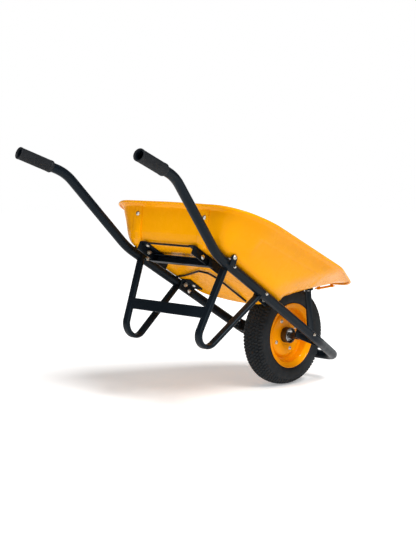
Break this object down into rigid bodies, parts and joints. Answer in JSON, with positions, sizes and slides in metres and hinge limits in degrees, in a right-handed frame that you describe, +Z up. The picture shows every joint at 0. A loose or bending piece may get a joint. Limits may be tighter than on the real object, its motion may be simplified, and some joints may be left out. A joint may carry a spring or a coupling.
{
  "type": "wheelbarrow",
  "caption": "Wheelbarrow with a pressed steel pan on a bent tube frame, a pneumatic wheel held inside the frame's nose loop, bent tube legs and rubber grips.",
  "frame": {"origin": "on the floor under the middle of the bounding box", "axes": "+X towards the wheel end, +Y to the left of the person pushing, +Z up; it stands on its wheel and two legs"},
  "size_m": [1.3728, 0.6508, 0.4675],
  "materials": {
    "tub_paint": "gloss yellow enamel",
    "frame_paint": "gloss black enamel",
    "rim_paint": "gloss yellow enamel",
    "grip_rubber": "matt black",
    "tyre_rubber": "matt black",
    "tube_rubber": "matt black",
    "zinc": "zinc plated",
    "bearing_steel": "ground",
    "dark_steel": "dark phosphate",
    "cap_plastic": "moulded"
  },
  "bodies": {
    "barrow": {"leg_left": "frame_paint", "leg_right": "frame_paint", "leg_brace": "frame_paint", "seat_strap_left": "frame_paint", "seat_strap_right": "frame_paint", "rear_cross_member": "frame_paint", "rear_tie_rod": "frame_paint", "pan_lug_left": "frame_paint", "pan_lug_right": "frame_paint", "front_tab_left": "frame_paint", "front_tab_right": "frame_paint", "underbody_rod": "frame_paint", "axle_bracket_left": "frame_paint", "axle_bracket_right": "frame_paint", "strut_left": "frame_paint", "strut_right": "frame_paint", "frame_tube": "frame_paint", "pan": "tub_paint", "rear_stay_left": "tub_paint", "rear_stay_right": "tub_paint", "nose_brace_left": "tub_paint", "nose_brace_right": "tub_paint", "grip_left": "grip_rubber", "grip_right": "grip_rubber", "axle": "zinc", "axle_sleeves": "zinc", "axle_inner_nuts": "zinc", "axle_washers": "zinc", "axle_outer_nuts": "zinc", "leg_bolts": "zinc", "stay_bolts": "zinc", "strap_bolts": "zinc", "lug_bolts": "zinc", "tab_bolts": "zinc", "rail_bolts": "zinc", "strut_bolts": "zinc", "axle_spacers": "dark_steel"},
    "wheel": {"rim_left": "rim_paint", "rim_right": "rim_paint", "hub": "dark_steel", "bearing_left": "bearing_steel", "bearing_right": "bearing_steel", "tyre": "tyre_rubber", "inner_tube": "tube_rubber", "valve_stem": "tube_rubber", "valve_cap": "cap_plastic", "rim_bolts": "zinc"}
  },
  "joints": [
    {"name": "wheel_spin", "type": "hinge", "parent": "barrow", "child": "wheel", "pos_m": [0.4564, 0, 0.18], "axis": [0, 1, 0], "continuous": true}
  ]
}
